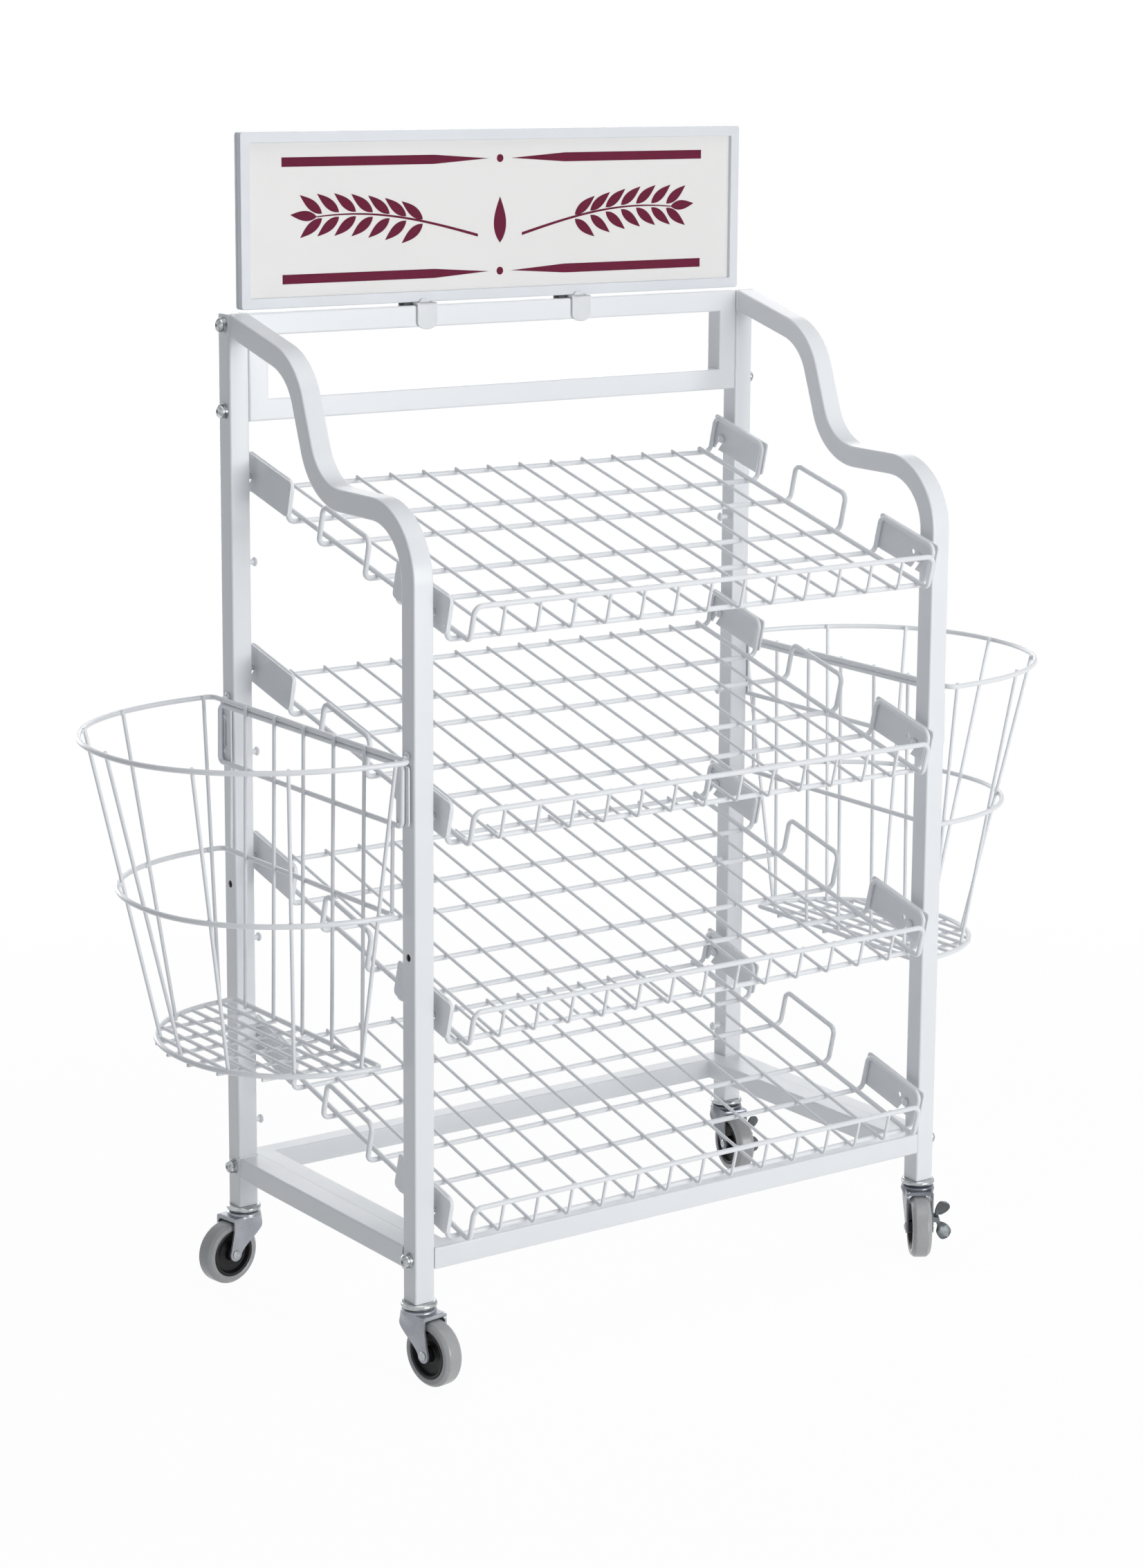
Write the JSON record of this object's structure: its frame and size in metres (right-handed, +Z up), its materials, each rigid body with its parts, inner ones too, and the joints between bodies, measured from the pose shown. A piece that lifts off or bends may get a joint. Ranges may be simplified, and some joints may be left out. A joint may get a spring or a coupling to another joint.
{
  "type": "bakery bread rack",
  "caption": "Wheeled bakery display rack of white square tube with sloping wire shelves hung on studs, wire loaf baskets hooked on the sides, a framed top sign and locking swivel casters.",
  "frame": {"origin": "on the floor under the middle of the rack's bounding box, casters as pictured", "axes": "+X to the right seen from the front, +Y towards the back, +Z up"},
  "size_m": [1.3042, 0.4912, 1.3827],
  "materials": {
    "powder_coat": "semi-gloss white powder coat on steel",
    "zinc": "bright zinc plate",
    "tyre": "grey non-marking rubber",
    "hub": "black moulded plastic",
    "insert": "black moulded plug",
    "channel": "pale grey extruded channel",
    "printed_board": "white board with maroon bars and dots",
    "clear_cover": "clear flexible cover sheet",
    "clip": "white moulded clip"
  },
  "bodies": {
    "frame": {"rear_post_left": "powder_coat", "front_post_left": "powder_coat", "side_rail_left": "powder_coat", "base_inner_rail_left": "powder_coat", "back_frame_upright_left": "powder_coat", "rear_post_right": "powder_coat", "front_post_right": "powder_coat", "side_rail_right": "powder_coat", "base_inner_rail_right": "powder_coat", "back_frame_upright_right": "powder_coat", "base_front_rail": "powder_coat", "base_rear_rail": "powder_coat", "back_frame_top_rail": "powder_coat", "back_frame_lower_rail": "powder_coat", "bolt_back_top_left": "zinc", "bolt_back_low_left": "zinc", "bolt_base_rear_left": "zinc", "bolt_base_front_left": "zinc", "bolt_back_top_right": "zinc", "bolt_back_low_right": "zinc", "bolt_base_rear_right": "zinc", "bolt_base_front_right": "zinc", "leg_insert_front_left": "insert", "leg_insert_front_right": "insert", "leg_insert_rear_left": "insert", "leg_insert_rear_right": "insert", "caster_head_front_left": "zinc", "caster_head_front_right": "zinc", "caster_head_rear_left": "zinc", "caster_head_rear_right": "zinc"},
    "caster_front_left": {"caster_fork_front_left": "zinc", "caster_axle_front_left": "zinc"},
    "wheel_front_left": {"caster_hub_front_left": "hub", "caster_tyre_front_left": "tyre"},
    "caster_front_right": {"caster_fork_front_right": "zinc", "caster_axle_front_right": "zinc"},
    "wheel_front_right": {"caster_hub_front_right": "hub", "caster_tyre_front_right": "tyre"},
    "brake_front_right": {"brake_pedal_front_right": "zinc"},
    "caster_rear_left": {"caster_fork_rear_left": "zinc", "caster_axle_rear_left": "zinc"},
    "wheel_rear_left": {"caster_hub_rear_left": "hub", "caster_tyre_rear_left": "tyre"},
    "caster_rear_right": {"caster_fork_rear_right": "zinc", "caster_axle_rear_right": "zinc"},
    "wheel_rear_right": {"caster_hub_rear_right": "hub", "caster_tyre_rear_right": "tyre"},
    "brake_rear_right": {"brake_pedal_rear_right": "zinc"},
    "shelf_1": {"shelf_1": "powder_coat"},
    "shelf_2": {"shelf_2": "powder_coat"},
    "shelf_3": {"shelf_3": "powder_coat"},
    "shelf_4": {"shelf_4": "powder_coat"},
    "basket_left": {"basket_left": "powder_coat"},
    "basket_right": {"basket_right": "powder_coat"},
    "sign": {"sign_frame": "channel", "sign_cover": "clear_cover", "sign_board": "printed_board", "sign_clip_left": "clip", "sign_clip_right": "clip"}
  },
  "joints": [
    {"name": "swivel_front_left", "type": "hinge", "parent": "frame", "child": "caster_front_left", "pos_m": [-0.369, -0.18143, 0.084], "axis": [0, 0, 1], "continuous": true},
    {"name": "roll_front_left", "type": "hinge", "parent": "caster_front_left", "child": "wheel_front_left", "pos_m": [-0.36538, -0.20717, 0.03763], "axis": [0.9903, 0.1392, 0], "continuous": true},
    {"name": "swivel_front_right", "type": "hinge", "parent": "frame", "child": "caster_front_right", "pos_m": [0.369, -0.18143, 0.084], "axis": [0, 0, 1], "continuous": true},
    {"name": "roll_front_right", "type": "hinge", "parent": "caster_front_right", "child": "wheel_front_right", "pos_m": [0.35484, -0.20323, 0.03763], "axis": [0.8387, -0.5446, 0], "continuous": true},
    {"name": "brake_front_right", "type": "hinge", "parent": "caster_front_right", "child": "brake_front_right", "pos_m": [0.37673, -0.21029, 0.04663], "axis": [0.5446, 0.8387, 0], "range_deg": [0, 16]},
    {"name": "swivel_rear_left", "type": "hinge", "parent": "frame", "child": "caster_rear_left", "pos_m": [-0.369, 0.21657, 0.084], "axis": [0, 0, 1], "continuous": true},
    {"name": "roll_rear_left", "type": "hinge", "parent": "caster_rear_left", "child": "wheel_rear_left", "pos_m": [-0.3946, 0.21206, 0.03763], "axis": [0.1736, -0.9848, 0], "continuous": true},
    {"name": "swivel_rear_right", "type": "hinge", "parent": "frame", "child": "caster_rear_right", "pos_m": [0.369, 0.21657, 0.084], "axis": [0, 0, 1], "continuous": true},
    {"name": "roll_rear_right", "type": "hinge", "parent": "caster_rear_right", "child": "wheel_rear_right", "pos_m": [0.36449, 0.19097, 0.03763], "axis": [0.9848, -0.1736, 0], "continuous": true},
    {"name": "brake_rear_right", "type": "hinge", "parent": "caster_rear_right", "child": "brake_rear_right", "pos_m": [0.38739, 0.19302, 0.04663], "axis": [0.1736, 0.9848, 0], "range_deg": [0, 16]},
    {"name": "shelf_1_lift", "type": "slide", "parent": "frame", "child": "shelf_1", "axis": [0, -0.6733, 0.7394], "range_m": [0, 0.012]},
    {"name": "shelf_2_lift", "type": "slide", "parent": "frame", "child": "shelf_2", "axis": [0, -0.6733, 0.7394], "range_m": [0, 0.012]},
    {"name": "shelf_3_lift", "type": "slide", "parent": "frame", "child": "shelf_3", "axis": [0, -0.6733, 0.7394], "range_m": [0, 0.012]},
    {"name": "shelf_4_lift", "type": "slide", "parent": "frame", "child": "shelf_4", "axis": [0, -0.6733, 0.7394], "range_m": [0, 0.012]},
    {"name": "basket_left_lift", "type": "slide", "parent": "frame", "child": "basket_left", "axis": [0, 0, 1], "range_m": [0, 0.003]},
    {"name": "basket_right_lift", "type": "slide", "parent": "frame", "child": "basket_right", "axis": [0, 0, 1], "range_m": [0, 0.003]},
    {"name": "sign_lift", "type": "slide", "parent": "frame", "child": "sign", "axis": [0, 0, 1], "range_m": [0, 0.035]}
  ]
}
